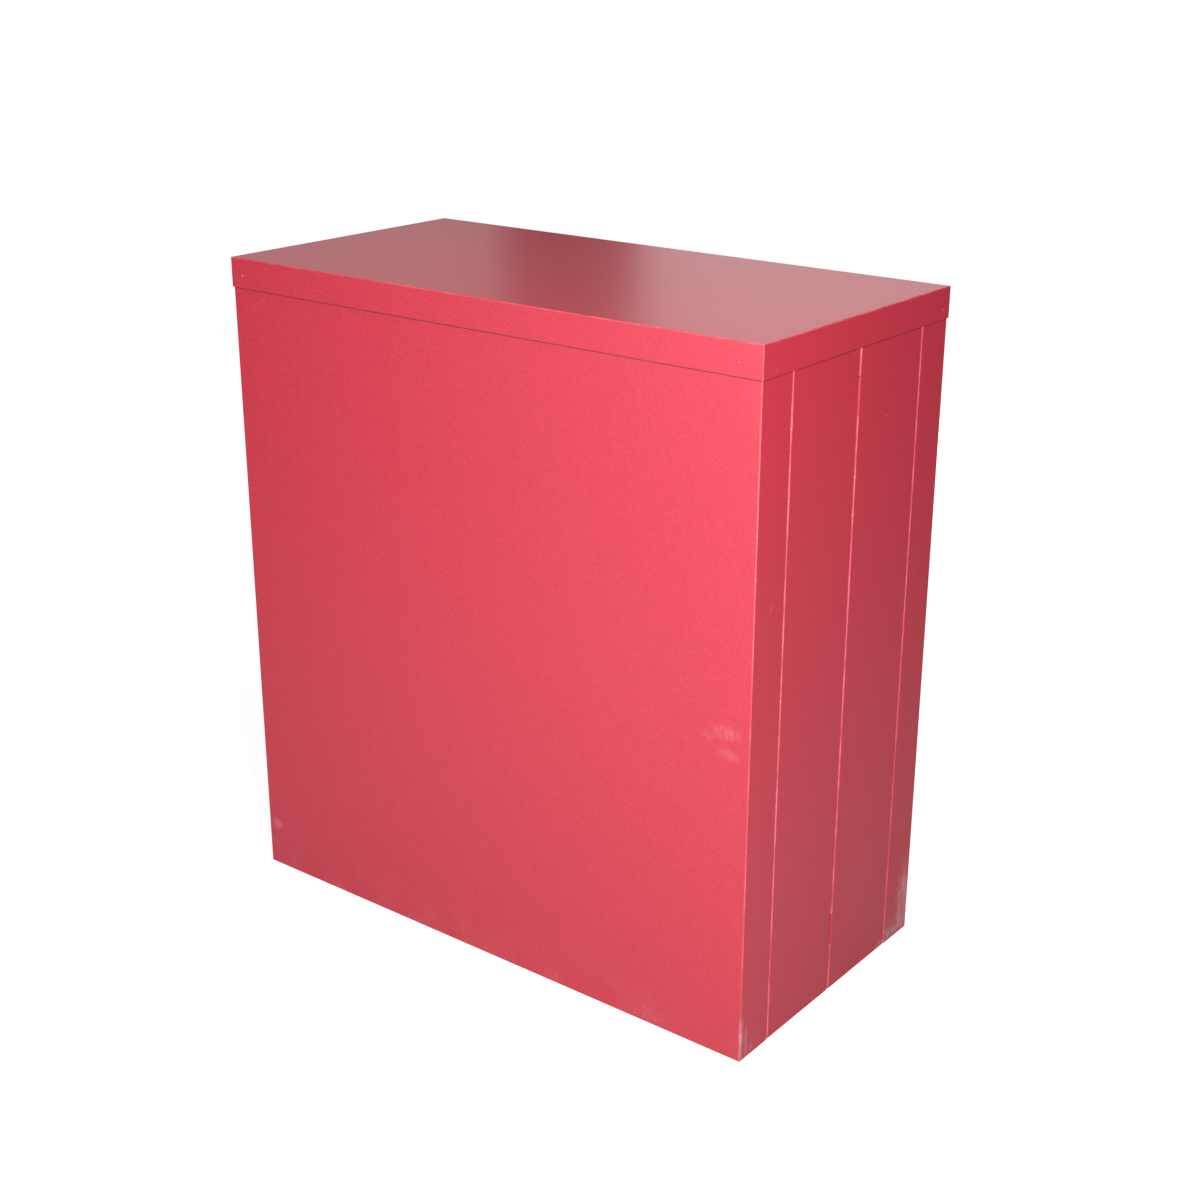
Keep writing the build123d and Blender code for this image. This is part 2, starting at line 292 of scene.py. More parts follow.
def makePaintedLidShadow():
    # painted shadow under the lid: a dark band on the body just below the skirt's edge, where the
    # skirt shades it
    group, source, sink = newGroup(
        "lidSkirtPaintedShadow",
        [("Vector", "NodeSocketVector", None), ("Height", "NodeSocketFloat", 1.0),
         ("Width", "NodeSocketFloat", 0.002), ("Amount", "NodeSocketFloat", 0.5)],
        [("Mask", "NodeSocketFloat")],
    )
    parts = group.nodes.new("ShaderNodeSeparateXYZ")
    group.links.new(source.outputs["Vector"], parts.inputs[0])
    away = addMath(group, "SUBTRACT", parts.outputs["Z"], source.outputs["Height"])
    span = addMath(group, "DIVIDE", addMath(group, "ABSOLUTE", away), source.outputs["Width"])
    band = addRange(group, span, 1.0, 0.72)
    cloud = addNoise(group, source.outputs["Vector"], 30.0, detail=3.0)
    both = addMath(group, "MULTIPLY", band, addRange(group, cloud, 0.25, 0.65, 0.7, 1.0))
    mask = addMath(group, "MULTIPLY", both, source.outputs["Amount"], True)
    group.links.new(mask, sink.inputs["Mask"])
    return group


groups = {
    "peel": makeOrangePeel(),
    "scratch": makeScratches(),
    "edge": makeEdgeWearAndHighlight(),
    "bend": makeBendRubAndHighlight(),
    "smudgeAndHighlight": makeSmudgeAndHighlight(),
    "floor": makeFloorScuff(),
    "line": makePaintedLidShadow(),
}

# Paint

coatSpec = {
    "colour": (0.54, 0.023, 0.050, 1.0),
    "mottleColour": (0.43, 0.016, 0.038, 1.0),
    # pale rubbed paint, also used as a painted highlight along bends, seams and hinge barrels
    "rubAndHighlightColour": (0.88, 0.17, 0.22, 1.0),
    # pale smudges, also used as painted highlights on the lid's pimples
    "smudgeAndHighlightColour": (0.76, 0.40, 0.44, 1.0),
    "chipColour": (0.80, 0.72, 0.70, 1.0),
    "dirtColour": (0.42, 0.20, 0.20, 1.0),
    # dark colour of the painted shadow under the lid's skirt
    "lidShadowColour": (0.10, 0.004, 0.008, 1.0),
    "lidShadowWidth": 0.0021,  # painted shadow along the edge of the lid's skirt
    "lidShadowDrop": 0.0003,  # middle of the painted shadow below that edge
    "lowHeight": 0.10,  # how high the floor's scuffs reach
    "roughness": 0.58,  # the powder itself
    "grainRoughness": 0.03,
    "wornRoughness": 0.25,  # added where it is rubbed or chipped
    "specular": 0.72,
    "gloss": 0.65,  # the cured skin over it
    "glossRoughness": 0.26,
    "peelDepth": 1.0,
    "peelStrength": 0.32,
    "peelDistance": 0.00012,
    "chipDepth": 1.5,  # against the orange peel's
    "lidEdgeSpared": 0.05,  # the skirt's lower edge is cut, not bent
}


def placeGroup(tree, key, vector, **values):
    node = tree.nodes.new("ShaderNodeGroup")
    node.node_tree = groups[key]
    tree.links.new(vector, node.inputs["Vector"])
    for socketName, value in values.items():
        node.inputs[socketName].default_value = value
    return node


def mixColour(tree, mask, below, above):
    node = tree.nodes.new("ShaderNodeMix")
    node.data_type = "RGBA"
    sockets = (node.inputs["Factor"], node.inputs["A"], node.inputs["B"])
    for socket, value in zip(sockets, (mask, below, above)):
        if isinstance(value, (float, int, tuple)):
            socket.default_value = value
        else:
            tree.links.new(value, socket)
    return node.outputs["Result"]


def makeCoat(name, node=None, marks=(), scratch=0.5, edge=0.5, low=0.0, paintedLidShadow=0.0):
    material = bpy.data.materials.new(name)
    material.use_nodes = True
    tree = material.node_tree
    shader = tree.nodes["Principled BSDF"]
    place = tree.nodes.new("ShaderNodeTexCoord").outputs["Object"]
    peel = placeGroup(tree, "peel", place, Depth=coatSpec["peelDepth"])
    colour = mixColour(tree, peel.outputs["Mottle"], coatSpec["mottleColour"], coatSpec["colour"])
    wornAndHighlight = placeGroup(tree, "scratch", place, Amount=scratch).outputs["Mask"]
    if node:
        boxLow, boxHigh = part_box(node)
        if node == "lid":
            boxLow.z -= coatSpec["lidEdgeSpared"]
        bends = placeGroup(tree, "bend", place, Low=boxLow, High=boxHigh, Amount=edge)
    else:
        bends = placeGroup(tree, "edge", place, Amount=edge)
    wornAndHighlight = addMath(tree, "MAXIMUM", wornAndHighlight, bends.outputs["RubAndHighlight"])
    chipped = bends.outputs["Chip"]
    if low:
        foot = placeGroup(tree, "floor", place, Amount=low, Height=coatSpec["lowHeight"])
        colour = mixColour(tree, foot.outputs["Dirt"], colour, coatSpec["dirtColour"])
        chipped = addMath(tree, "MAXIMUM", chipped, foot.outputs["Chip"])
    # rubbed paint and painted highlight along the bends and scratches
    colour = mixColour(tree, wornAndHighlight, colour, coatSpec["rubAndHighlightColour"])
    # smudges, and painted highlights where a mark sits on a pimple
    for centre, size, strength in marks:
        smudgeAndHighlight = placeGroup(tree, "smudgeAndHighlight", place, Centre=centre, Size=size, Strength=strength)
        colour = mixColour(tree, smudgeAndHighlight.outputs["Mask"], colour, coatSpec["smudgeAndHighlightColour"])
        wornAndHighlight = addMath(tree, "MAXIMUM", wornAndHighlight, smudgeAndHighlight.outputs["Mask"])
    # painted shadow: a dark band just under the lid skirt's edge, with the gloss taken off it
    if paintedLidShadow:
        level, width = lidLow.z - coatSpec["lidShadowDrop"], coatSpec["lidShadowWidth"]
        line = placeGroup(tree, "line", place, Height=level, Width=width, Amount=paintedLidShadow)
        colour = mixColour(tree, line.outputs["Mask"], colour, coatSpec["lidShadowColour"])
        unshadedShare = addMath(tree, "SUBTRACT", 1.0, line.outputs["Mask"])
        skin = addMath(tree, "MULTIPLY", unshadedShare, coatSpec["gloss"])
        tree.links.new(skin, shader.inputs["Coat Weight"])
    colour = mixColour(tree, chipped, colour, coatSpec["chipColour"])
    tree.links.new(colour, shader.inputs["Base Color"])
    bare = addMath(tree, "MAXIMUM", wornAndHighlight, chipped)
    dull = addMath(tree, "MULTIPLY", bare, coatSpec["wornRoughness"])
    grain = addMath(tree, "MULTIPLY", peel.outputs["Mottle"], coatSpec["grainRoughness"])
    rough = addMath(tree, "ADD", addMath(tree, "ADD", dull, grain), coatSpec["roughness"], True)
    tree.links.new(rough, shader.inputs["Roughness"])
    shader.inputs["Specular IOR Level"].default_value = coatSpec["specular"]
    shader.inputs["Coat Weight"].default_value = coatSpec["gloss"]
    shader.inputs["Coat Roughness"].default_value = coatSpec["glossRoughness"]
    bump = tree.nodes.new("ShaderNodeBump")
    bump.inputs["Strength"].default_value = coatSpec["peelStrength"]
    bump.inputs["Distance"].default_value = coatSpec["peelDistance"]
    pit = addMath(tree, "MULTIPLY", chipped, coatSpec["chipDepth"])
    tree.links.new(addMath(tree, "SUBTRACT", peel.outputs["Height"], pit), bump.inputs["Height"])
    tree.links.new(bump.outputs["Normal"], shader.inputs["Normal"])
    return material


metalSpec = {
    "streak": 0.12,  # turning marks, in roughness
    "cloudShade": 0.72,
    "bumpStrength": 0.15,
    "bumpDistance": 0.00005,
}


def makeMetal(name, colour, roughness):
    material = bpy.data.materials.new(name)
    material.use_nodes = True
    tree = material.node_tree
    shader = tree.nodes["Principled BSDF"]
    shader.inputs["Metallic"].default_value = 1.0
    place = tree.nodes.new("ShaderNodeTexCoord").outputs["Object"]
    turned = addNoise(tree, addMapping(tree, place, scale=(1.0, 1.0, 4.0)), 900.0, detail=3.0)
    cloud = addNoise(tree, place, 160.0, detail=4.0, roughness=0.7)
    dark = tuple(channel * metalSpec["cloudShade"] for channel in colour[:3]) + (1.0,)
    shade = mixColour(tree, addRange(tree, cloud, 0.35, 0.7), dark, colour)
    tree.links.new(shade, shader.inputs["Base Color"])
    streak = addMath(tree, "MULTIPLY", turned, metalSpec["streak"])
    rough = addMath(tree, "ADD", streak, roughness, True)
    tree.links.new(rough, shader.inputs["Roughness"])
    bump = tree.nodes.new("ShaderNodeBump")
    bump.inputs["Strength"].default_value = metalSpec["bumpStrength"]
    bump.inputs["Distance"].default_value = metalSpec["bumpDistance"]
    tree.links.new(turned, bump.inputs["Height"])
    tree.links.new(bump.outputs["Normal"], shader.inputs["Normal"])
    return material


lidLow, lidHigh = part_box("lid")
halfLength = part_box("front_panel")[1].x
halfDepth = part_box("back_panel")[1].y

# Smudges and scuffs, and painted highlights on the lid's pimples: centre, size and strength
frontMarks = [
    ((0.458, -halfDepth, 0.520), (0.032, 0.02, 0.016), 0.15),
    ((0.463, -halfDepth, 0.487), (0.022, 0.02, 0.012), 0.12),
    ((0.428, -halfDepth, 0.508), (0.016, 0.02, 0.008), 0.10),
    ((-0.478, -halfDepth, 0.078), (0.018, 0.02, 0.020), 0.20),
    ((halfLength, -0.2435, 0.040), (0.004, 0.007, 0.060), 0.52),
    ((halfLength, -0.231, 0.030), (0.004, 0.004, 0.036), 0.36),
    ((halfLength, -0.205, 0.700), (0.02, 0.004, 0.008), 0.22),
]
backMarks = [
    ((halfLength, 0.234, 0.060), (0.006, 0.034, 0.105), 0.50),
    ((halfLength, 0.205, 0.012), (0.03, 0.022, 0.014), 0.30),
    ((0.21, halfDepth, 0.33), (0.060, 0.02, 0.020), 0.16),
    ((-0.36, halfDepth, 0.71), (0.030, 0.02, 0.070), 0.12),
    ((-halfLength, 0.238, 0.040), (0.02, 0.012, 0.050), 0.35),
]
leafMarks = [
    ((halfLength, 0.162, 0.008), (0.02, 0.024, 0.010), 0.30),
    ((halfLength, 0.0835, 0.908), (0.02, 0.0018, 0.0018), 0.9),
    ((-halfLength, -0.110, 0.012), (0.02, 0.020, 0.012), 0.30),
]
lidPimples = [
    # place on the skirt, facing
    ((-0.4748, lidLow.y, 1.0430), (0, -1, 0)),
    ((0.4615, lidLow.y, 1.0420), (0, -1, 0)),
    ((lidHigh.x, 0.2288, 1.0376), (1, 0, 0)),
]
lidMarksAndHighlights = [
    ((0.21, 0.10, lidHigh.z), (0.040, 0.025, 0.02), 0.07),
    ((lidHigh.x, -0.215, 1.0315), (0.02, 0.0010, 0.0075), 0.50),
# a painted highlight over each pimple
] + [(place, (0.0022, 0.0022, 0.0022), 0.60) for place, facing in lidPimples]

# strong edge rub on the leaves paints the bright seam highlights
leafWearAndPaintedLight = {"marks": leafMarks, "scratch": 0.14, "edge": 0.90, "paintedLidShadow": 0.78}
frontWearAndPaintedLight = {"marks": frontMarks, "scratch": 0.14, "edge": 0.55, "low": 0.08, "paintedLidShadow": 0.78}
backWearAndPaintedLight = {"marks": backMarks, "scratch": 0.22, "edge": 0.50, "low": 0.25, "paintedLidShadow": 0.78}
# wear, painted highlights and the painted shadow under the lid, per part
wearAndPaintedLight = {
    "front_panel": frontWearAndPaintedLight,
    "back_panel": backWearAndPaintedLight,
    "lid": {"marks": lidMarksAndHighlights, "scratch": 0.12, "edge": 0.45},
    "shelf": {"scratch": 0.5, "edge": 0.6},
    "right_front_leaf": leafWearAndPaintedLight,
    "right_back_leaf": leafWearAndPaintedLight,
    "left_front_leaf": leafWearAndPaintedLight,
    "left_back_leaf": leafWearAndPaintedLight,
}
coats = {node: makeCoat(node + "_coat", node, **use) for node, use in wearAndPaintedLight.items()}
coats["inside"] = makeCoat("inside_coat", scratch=0.35, edge=0.35)
# heavy rub and scratches paint the hinge barrels lighter: painted highlight as well as wear
coats["hinge"] = makeCoat("hinge_coat", scratch=0.9, edge=1.0)
pinMetal = makeMetal("brightZinc", (0.66, 0.67, 0.69, 1.0), 0.26)
rivetMetal = makeMetal("dullAluminium", (0.74, 0.74, 0.76, 1.0), 0.38)

slotMaterials = {
    "red_powder_coat": coats["inside"],
    "hinge_plate": coats["hinge"],
    "hinge_pin": pinMetal,
    "rivet": rivetMetal,
}
slotOf = {part["node"]: part["material_slot"] for part in frame["record"]["subparts"]}
for nodeName, node in frame["nodes"].items():
    material = coats.get(nodeName, slotMaterials[slotOf[nodeName]])
    node.data.materials.clear()
    node.data.materials.append(material)
print("materials done")

# Folded sheet. Each piece is drawn as the outside skin of its sheet, rounded at every bend,
# and then given its thickness inwards.

sheetMetal = {
    "thickness": 0.001,
    "bendRadius": 0.0015,
    "bendSegments": 4,
    "bendAngle": 30.0,  # a corner sharper than this is a bend
    "cutRadius": 0.0002,  # powder rounds off the cut edges
    "cutAngle": 50.0,
    "creaseAngle": 48.0,  # shaded sharp beyond this
    "wave": 0.00022,  # how far a broad face wanders from flat
    "waveLength": 0.30,
    "waveMargin": 0.09,
    "lip": 0.008,  # returned edge of a leaf or of a panel's side
    "rim": 0.020,  # returned top and bottom of a panel
}


def steps(low, high, count):
    return [round(low + (high - low) * index / count, 6) for index in range(count + 1)]


def newDrawing():
    return {"mesh": bmesh.new(), "corners": {}}


def corner(drawing, point):
    key = tuple(round(value * 1e6) for value in point)
    if key not in drawing["corners"]:
        drawing["corners"][key] = drawing["mesh"].verts.new(point)
    return drawing["corners"][key]


def patch(drawing, rows, columns, place):
    # a grid of quads that shares its corners with the patches beside it
    for low, high in zip(rows, rows[1:]):
        for left, right in zip(columns, columns[1:]):
            points = (place(low, left), place(low, right), place(high, right), place(high, left))
            drawing["mesh"].faces.new([corner(drawing, point) for point in points])


def wander(sheet, facing, seed):
    # broad faces are never dead flat: pull them in by a fraction of a millimetre
    broad = [
        vert for vert in sheet.verts
        if all(face.normal.dot(facing) > 0.999 for face in vert.link_faces)
    ]
    lows = [min(vert.co[axis] for vert in broad) for axis in range(3)]
    highs = [max(vert.co[axis] for vert in broad) for axis in range(3)]
    for vert in broad:
        inset = 1.0
        for axis in range(3):
            if abs(facing[axis]) < 0.5:
                gap = min(vert.co[axis] - lows[axis], highs[axis] - vert.co[axis])
                inset *= min(1.0, gap / sheetMetal["waveMargin"])
        at = vert.co / sheetMetal["waveLength"] + Vector((seed, 0.0, 0.0))
        swell = 0.5 + 0.5 * noise.noise(at)
        vert.co -= facing * (sheetMetal["wave"] * swell * inset)


studSpec = {
    "sides": 14,
    "dome": ((1.0, 0.0), (0.72, 0.62), (0.38, 0.93)),  # shares of the radius and of the height
}


def addStud(sheet, centre, facing, radius, height):
    # a closed low dome: a spot weld or a raised pimple
    centre, facing = Vector(centre), Vector(facing)
    across = facing.orthogonal().normalized()
    along = facing.cross(across)
    sides = studSpec["sides"]
    rings = []
    for share, rise in studSpec["dome"]:
        ring = []
        for turn in range(sides):
            angle = math.tau * turn / sides
            spoke = across * math.cos(angle) + along * math.sin(angle)
            point = centre + spoke * radius * share + facing * height * rise
            ring.append(sheet.verts.new(point))
        rings.append(ring)
    crown = sheet.verts.new(centre + facing * height)
    foot = sheet.verts.new(centre - facing * height)
    for index in range(sides):
        after = (index + 1) % sides
        for lower, upper in zip(rings, rings[1:]):
            sheet.faces.new((lower[index], lower[after], upper[after], upper[index]))
        sheet.faces.new((rings[-1][index], rings[-1][after], crown))
        sheet.faces.new((rings[0][after], rings[0][index], foot))


def foldSheet(name, drawing, facing, thickness=None, wavy=None, cutter=None, studs=()):
    sheet = drawing["mesh"]
    facing = Vector(facing)
    bmesh.ops.recalc_face_normals(sheet, faces=sheet.faces)
    outermost = max(sheet.faces, key=lambda face: face.calc_center_median().dot(facing))
    if outermost.normal.dot(facing) < 0:
        bmesh.ops.reverse_faces(sheet, faces=sheet.faces)
    sharp = math.radians(sheetMetal["bendAngle"])
    bends = [
        edge for edge in sheet.edges
        if len(edge.link_faces) == 2 and edge.calc_face_angle() > sharp
    ]
    bmesh.ops.bevel(
        sheet,
        geom=bends,
        offset=sheetMetal["bendRadius"],
        offset_type="OFFSET",
        segments=sheetMetal["bendSegments"],
        profile=0.5,
        affect="EDGES",
        clamp_overlap=True,
    )
    sheet.normal_update()
    if wavy is not None:
        wander(sheet, facing, wavy)
    mesh = bpy.data.meshes.new(name)
    sheet.to_mesh(mesh)
    sheet.free()
    piece = linkObject(name, mesh)
    thick = piece.modifiers.new("sheetThickness", "SOLIDIFY")
    thick.thickness = thickness or sheetMetal["thickness"]
    thick.offset = -1.0
    thick.use_even_offset = True
    thick.use_quality_normals = True
    if cutter:
        cut = piece.modifiers.new("notch", "BOOLEAN")
        cut.operation = "DIFFERENCE"
        cut.solver = "EXACT"
        cut.object = cutter
    soft = piece.modifiers.new("cutEdges", "BEVEL")
    soft.width = sheetMetal["cutRadius"]
    soft.segments = 2
    soft.limit_method = "ANGLE"
    soft.angle_limit = math.radians(sheetMetal["cutAngle"])
    applyModifiers(piece)
    if studs:
        solid = bmesh.new()
        solid.from_mesh(piece.data)
        for stud in studs:
            addStud(solid, *stud)
        solid.to_mesh(piece.data)
        solid.free()
    piece.data.shade_smooth()
    piece.data.set_sharp_from_angle(angle=math.radians(sheetMetal["creaseAngle"]))
    weighted = piece.modifiers.new("flatShading", "WEIGHTED_NORMAL")
    weighted.keep_sharp = True
    applyModifiers(piece)
    return piece


def finishSheet(piece, material, body, slot, *nodes):
    piece.data.materials.clear()
    piece.data.materials.append(material)
    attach(piece, body)
    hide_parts(*nodes)


# Wide panels: a face, two returned sides with lips, and a mitred rim at top and bottom

panelSpec = {
    "columns": 26,
    "rows": 28,
    "sideShares": (0.0, 0.34, 0.67, 1.0),
}


def widePanel(node, sign, seed):
    low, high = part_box(node)
    outer, mouth = (low.y, high.y) if sign < 0 else (high.y, low.y)
    half, lip, rim = high.x, sheetMetal["lip"], sheetMetal["rim"]
    xs = steps(-half, half, panelSpec["columns"])
    ys = [outer + (mouth - outer) * share for share in panelSpec["sideShares"]]
    zs = steps(low.z, high.z, panelSpec["rows"])
    inward = [0.0, lip, rim]
    drawing = newDrawing()
    patch(drawing, zs, xs, lambda z, x: (x, outer, z))
    for side in (-1, 1):
        patch(drawing, zs, ys, lambda z, y: (side * half, y, z))
        patch(drawing, zs, [0.0, lip], lambda z, step: (side * (half - step), mouth, z))
    for z in (low.z, high.z):
        patch(drawing, inward, xs, lambda step, x: (x * (1 - step / half), outer - sign * step, z))
        for side in (-1, 1):
            def sideRim(y, step):
                share = (y - outer) / (mouth - outer)
                return (side * (half - step), y - sign * step * (1 - share), z)
            patch(drawing, ys, inward, sideRim)
    piece = foldSheet(f"{node}_sheet", drawing, (0, sign, 0), wavy=seed)
    finishSheet(piece, coats[node], node, "red_powder_coat", node)


widePanel("front_panel", -1, 3.1)
widePanel("back_panel", 1, 8.7)
print("wide panels folded")


# Leaves: shallow trays, notched where the centre barrels stand

leafSpec = {
    "columns": 6,
    "rows": 28,
    "firstWave": 20.0,
    "nextWave": 5.3,
    "notchDepth": 0.003,
    "notchWidth": 0.0025,
    "notchReach": 0.02865,
    "cutterWidth": 0.010,
    "pinReach": 0.02835,  # middle of a hinge to the end of its pin
}


def notchCutter(name, side, sign):
    pinLow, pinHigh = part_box(f"{name}_centre_hinge_pins")
    width = leafSpec["cutterWidth"]
    across = side * (halfLength - leafSpec["notchDepth"] + width / 2)
    along = sign * (leafSpec["notchWidth"] - width / 2)
    size = Matrix.Diagonal((width, width, 2 * leafSpec["notchReach"], 1.0))
    cutter = bmesh.new()
    for level in (pinLow.z + leafSpec["pinReach"], pinHigh.z - leafSpec["pinReach"]):
        place = Matrix.Translation((across, along, level))
        bmesh.ops.create_cube(cutter, size=1.0, matrix=place @ size)
    mesh = bpy.data.meshes.new("notchCutter")
    cutter.to_mesh(mesh)
    cutter.free()
    return linkObject("notchCutter", mesh)


def endLeaf(name, side, end, sign, seed):
    node = f"{name}_{end}_leaf"
    low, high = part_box(node)
    outer = high.x if side > 0 else low.x
    inner = outer - side * sheetMetal["lip"]
    ys = steps(low.y, high.y, leafSpec["columns"])
    zs = steps(low.z, high.z, leafSpec["rows"])
    drawing = newDrawing()
    patch(drawing, zs, ys, lambda z, y: (outer, y, z))
    for y in (low.y, high.y):
        patch(drawing, zs, [outer, inner], lambda z, x: (x, y, z))
    for z in (low.z, high.z):
        patch(drawing, ys, [outer, inner], lambda y, x: (x, y, z))
    cutter = notchCutter(name, side, sign)
    piece = foldSheet(f"{node}_sheet", drawing, (side, 0, 0), wavy=seed, cutter=cutter)
    bpy.data.objects.remove(cutter)
    finishSheet(piece, coats[node], node, "red_powder_coat", node)


seed = leafSpec["firstWave"]
for name, side in (("right", 1), ("left", -1)):
    for end, sign in (("front", -1), ("back", 1)):
        endLeaf(name, side, end, sign, seed)
        seed += leafSpec["nextWave"]
print("leaves folded")


# Lid: a cap with a plain skirt, and three raised pimples where it was jigged

lidSpec = {
    "columns": 26,
    "rows": 14,
    "skirtRows": 2,
    "wave": 41.0,
    "pimpleRadius": 0.0021,
    "pimpleHeight": 0.0010,
}


def capLid():
    low, high = lidLow, lidHigh
    xs = steps(low.x, high.x, lidSpec["columns"])
    ys = steps(low.y, high.y, lidSpec["rows"])
    zs = steps(low.z, high.z, lidSpec["skirtRows"])
    drawing = newDrawing()
    patch(drawing, ys, xs, lambda y, x: (x, y, high.z))
    for y in (low.y, high.y):
        patch(drawing, zs, xs, lambda z, x: (x, y, z))
    for x in (low.x, high.x):
        patch(drawing, zs, ys, lambda z, y: (x, y, z))
    size = (lidSpec["pimpleRadius"], lidSpec["pimpleHeight"])
    studs = [(place, facing, *size) for place, facing in lidPimples]
    piece = foldSheet("lid_sheet", drawing, (0, 0, 1), wavy=lidSpec["wave"], studs=studs)
    finishSheet(piece, coats["lid"], "lid", "red_powder_coat", "lid")


capLid()
print("lid folded")


# Shelf: a tray turned upside down

shelfSpec = {"columns": 16, "rows": 12, "wave": 52.0}


def shelfTray():
    low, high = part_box("shelf")
    xs = steps(low.x, high.x, shelfSpec["columns"])
    ys = steps(low.y, high.y, shelfSpec["rows"])
    drawing = newDrawing()
    patch(drawing, ys, xs, lambda y, x: (x, y, high.z))
    for y in (low.y, high.y):
        patch(drawing, [low.z, high.z], xs, lambda z, x: (x, y, z))
    for x in (low.x, high.x):
        patch(drawing, [low.z, high.z], ys, lambda z, y: (x, y, z))
    piece = foldSheet("shelf_sheet", drawing, (0, 0, 1), wavy=shelfSpec["wave"])
    finishSheet(piece, coats["shelf"], "shelf", "red_powder_coat", "shelf")


shelfTray()
print("shelf folded")


# Pressed channels and rails: one folded profile, drawn out along its length, spot-welded on

channelSpec = {
    "rows": 4,
    "lidRows": 2,
    "brim": 0.014,
    "width": 0.034,
    "weldRadius": 0.0028,
    "weldHeight": 0.00025,
    "weldPitch": 0.16,
}


def drawnProfile(drawing, profile, rows, place):
    patch(drawing, rows, list(range(len(profile))), lambda row, index: place(*profile[index], row))


def channelProfile(depth):
    web, brim, sheet = channelSpec["width"] / 2, channelSpec["brim"], sheetMetal["thickness"]
    half = [(web + brim, sheet), (web, sheet), (web, depth)]
    return half + [(-across, out) for across, out in reversed(half)]


def channelSet(node, body, depth, middles, rows, place, facing):
    # across, out from the sheet, and along, turned into the box's axes by place
    drawing = newDrawing()
    studs = []
    weldCount = max(2, round((rows[-1] - rows[0]) / channelSpec["weldPitch"]))
    for middle in middles:
        profile = [(middle + across, out) for across, out in channelProfile(depth)]
        drawnProfile(drawing, profile, rows, place)
        for brimSide in (-1, 1):
            across = middle + brimSide * (channelSpec["width"] + channelSpec["brim"]) / 2
            for index in range(weldCount):
                along = rows[0] + (rows[-1] - rows[0]) * (index + 0.5) / weldCount
                centre = place(across, sheetMetal["thickness"], along)
                studs.append((centre, facing, channelSpec["weldRadius"], channelSpec["weldHeight"]))
    piece = foldSheet(f"{node}_folded", drawing, facing, studs=studs)
    finishSheet(piece, coats["inside"], body, "red_powder_coat", node)


for node, sign in (("front_panel", -1), ("back_panel", 1)):
    low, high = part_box(f"{node}_channels")
    wall = low.y if sign < 0 else high.y
    depth = high.y - low.y
    middle = high.x - channelSpec["width"] / 2 - channelSpec["brim"]
    rows = steps(low.z, high.z, channelSpec["rows"])
    channelSet(
        f"{node}_channels", node, depth, (-middle, middle), rows,
        lambda across, out, along: (across, wall - sign * out, along), (0, -sign, 0),
    )

for name, side in (("right", 1), ("left", -1)):
    for end in ("front", "back"):
        leaf = f"{name}_{end}_leaf"
        low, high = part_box(f"{leaf}_channel")
        wall = high.x if side > 0 else low.x
        middle = (low.y + high.y) / 2
        rows = steps(low.z, high.z, channelSpec["rows"])
        channelSet(
            f"{leaf}_channel", leaf, high.x - low.x, (middle,), rows,
            lambda across, out, along: (wall - side * out, across, along), (-side, 0, 0),
        )

low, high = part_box("lid_channels")
reach = high.x - channelSpec["width"] / 2 - channelSpec["brim"]
rows = steps(low.y, high.y, channelSpec["lidRows"])
channelSet(
    "lid_channels", "lid", high.z - low.z, (-reach, 0.0, reach), rows,
    lambda across, out, along: (across, along, high.z - out), (0, 0, -1),
)
print("channels folded")


railSpec = {"thickness": 0.0015, "columns": 8}


def shelfRail(node, body, profile, facing):
    low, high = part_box(node)
    drawing = newDrawing()
    columns = steps(low.x, high.x, railSpec["columns"])
    drawnProfile(drawing, profile, columns, lambda y, z, x: (x, y, z))
    piece = foldSheet(f"{node}_folded", drawing, facing, thickness=railSpec["thickness"])
    finishSheet(piece, coats["inside"], body, "red_powder_coat", node)


low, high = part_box("shelf_front_rail")
profile = [(low.y, high.z), (low.y, low.z), (high.y, low.z)]
shelfRail("shelf_front_rail", "front_panel", profile, (0, -1, 0))
low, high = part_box("shelf_back_rail")
profile = [(high.y, low.z), (high.y, high.z), (low.y, high.z)]
shelfRail("shelf_back_rail", "back_panel", profile, (0, 1, 0))
print("rails folded")


# Studio

cameraSpec = {
    "azimuth": 37.87,
    "elevation": 20.59,
    "roll": 0.16,
    "distance": 3.0,
    "aim": (0.021, 0.031, 0.532),
    "lens": 55.37,
    "sensor": 36.0,
}

softboxes = [
    # name, place, aim, width, height, power, colour
    ("keySoftbox", (1.88, -1.80, 1.64), (0.3, -0.15, 0.72), 0.40, 0.40, 95.0, (1.0, 0.98, 0.97)),
    ("fillSoftbox", (-0.28, -2.40, 1.10), (-0.1, -0.2, 0.80), 0.6, 0.6, 21.0, (1.0, 0.98, 0.97)),
    ("floorSoftbox", (-0.05, -1.8, 1.4), (-0.05, -1.7, 0.0), 0.7, 0.9, 6.0, (1.0, 0.98, 0.97)),
    ("overheadSoftbox", (0.0, 0.0, 3.6), (0.0, 0.0, 0.5), 2.4, 2.0, 42.0, (1.0, 0.98, 0.97)),
    ("backRightSoftbox", (-1.76, 3.59, 2.0), (0.0, 0.0, 1.1), 1.32, 2.4, 10.7, (1.0, 0.97, 0.97)),
    ("behindSoftbox", (-1.5, 3.1, 0.70), (0.0, 0.2, 0.55), 1.4, 0.6, 34.0, (1.0, 0.98, 0.97)),
    ("backLeftSoftbox", (-3.18, 2.42, 2.0), (0.0, 0.0, 1.1), 1.48, 2.4, 6.4, (1.0, 0.96, 0.96)),
]


def aimAt(holder, place, target):
    holder.location = place
    holder.rotation_euler = (Vector(target) - Vector(place)).to_track_quat("-Z", "Y").to_euler()


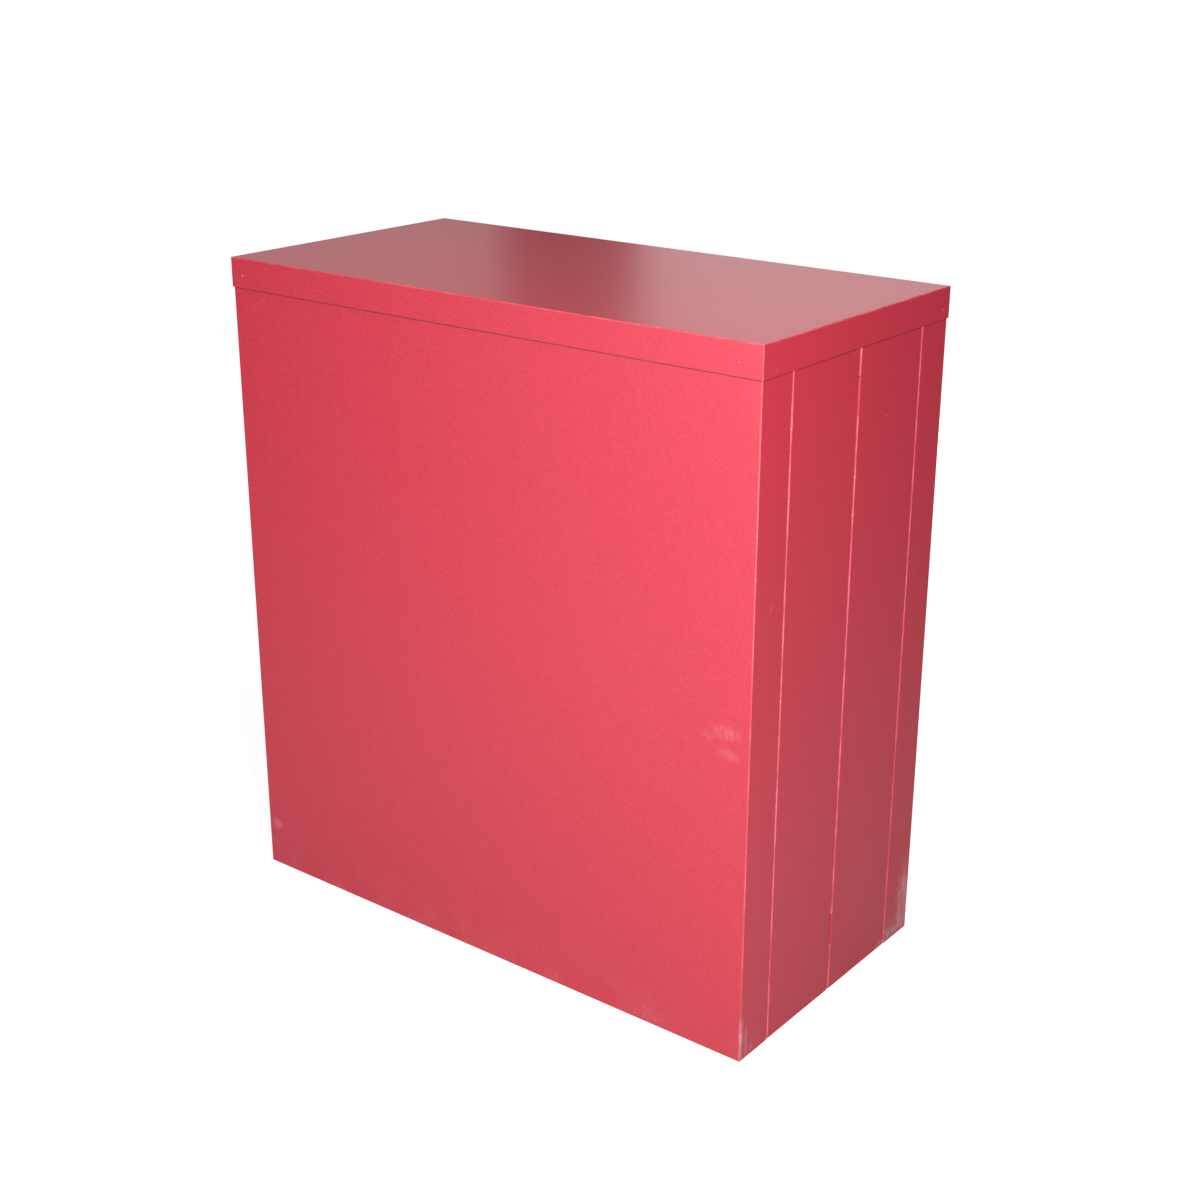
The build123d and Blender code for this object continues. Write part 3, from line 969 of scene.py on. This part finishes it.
def addCamera(spec):
    azimuth, elevation = math.radians(spec["azimuth"]), math.radians(spec["elevation"])
    roll = math.radians(spec["roll"])
    back = Vector((
        math.sin(azimuth) * math.cos(elevation),
        -math.cos(azimuth) * math.cos(elevation),
        math.sin(elevation),
    ))
    level = Vector((math.cos(azimuth), math.sin(azimuth), 0.0))
    up = back.cross(level)
    right = math.cos(roll) * level + math.sin(roll) * up
    up = math.cos(roll) * up - math.sin(roll) * level
    lens = bpy.data.cameras.new("camera")
    lens.lens = spec["lens"]
    lens.sensor_width = spec["sensor"]
    camera = bpy.data.objects.new("camera", lens)
    bpy.context.scene.collection.objects.link(camera)
    turn = Matrix((right, up, back)).transposed().to_4x4()
    camera.matrix_world = Matrix.Translation(Vector(spec["aim"]) + back * spec["distance"]) @ turn
    bpy.context.scene.camera = camera


def addSoftbox(name, place, target, width, height, power, colour):
    lamp = bpy.data.lights.new(name, "AREA")
    lamp.shape = "RECTANGLE"
    lamp.size, lamp.size_y = width, height
    lamp.energy = power
    lamp.color = colour
    holder = bpy.data.objects.new(name, lamp)
    bpy.context.scene.collection.objects.link(holder)
    aimAt(holder, place, target)
    holder.visible_camera = False


floorSpec = {
    "size": 30.0,
    "colour": (0.38, 0.38, 0.38, 1.0),
    "roughness": 0.9,
    "specular": 0.1,
    "near": (1.0, 0.80),  # metres from the middle, and how far it is lifted to white
    "far": (3.5, 1.0),
}


def addFloor():
    mesh = bpy.data.meshes.new("floor")
    half = floorSpec["size"] / 2
    corners = [(-half, -half, 0), (half, -half, 0), (half, half, 0), (-half, half, 0)]
    mesh.from_pydata(corners, [], [(0, 1, 2, 3)])
    floor = linkObject("floor", mesh)
    material = bpy.data.materials.new("paleFloor")
    material.use_nodes = True
    tree = material.node_tree
    shader = tree.nodes["Principled BSDF"]
    shader.inputs["Base Color"].default_value = floorSpec["colour"]
    shader.inputs["Roughness"].default_value = floorSpec["roughness"]
    shader.inputs["Specular IOR Level"].default_value = floorSpec["specular"]
    glow = tree.nodes.new("ShaderNodeLightPath").outputs["Is Camera Ray"]
    place = tree.nodes.new("ShaderNodeTexCoord").outputs["Object"]
    length = tree.nodes.new("ShaderNodeVectorMath")
    length.operation = "LENGTH"
    tree.links.new(place, length.inputs[0])
    (near, nearLift), (far, farLift) = floorSpec["near"], floorSpec["far"]
    pale = addRange(tree, length.outputs["Value"], near, far, nearLift, farLift)
    lift = addMath(tree, "MULTIPLY", glow, pale)
    shader.inputs["Emission Color"].default_value = (1.0, 1.0, 1.0, 1.0)
    tree.links.new(lift, shader.inputs["Emission Strength"])
    mesh.materials.append(material)


def addWorld(dim=0.026, pale=1.0):
    world = bpy.data.worlds.new("studio")
    bpy.context.scene.world = world
    world.use_nodes = True
    tree = world.node_tree
    background = tree.nodes["Background"]
    background.inputs["Color"].default_value = (1.0, 1.0, 1.0, 1.0)
    seen = tree.nodes.new("ShaderNodeLightPath").outputs["Is Camera Ray"]
    strength = addRange(tree, seen, 0.0, 1.0, dim, pale)
    tree.links.new(strength, background.inputs["Strength"])


addCamera(cameraSpec)
addFloor()
addWorld()
for softbox in softboxes:
    addSoftbox(*softbox)
bpy.context.scene.view_settings.view_transform = "Standard"
bpy.context.scene.view_settings.look = "None"
print("studio done")
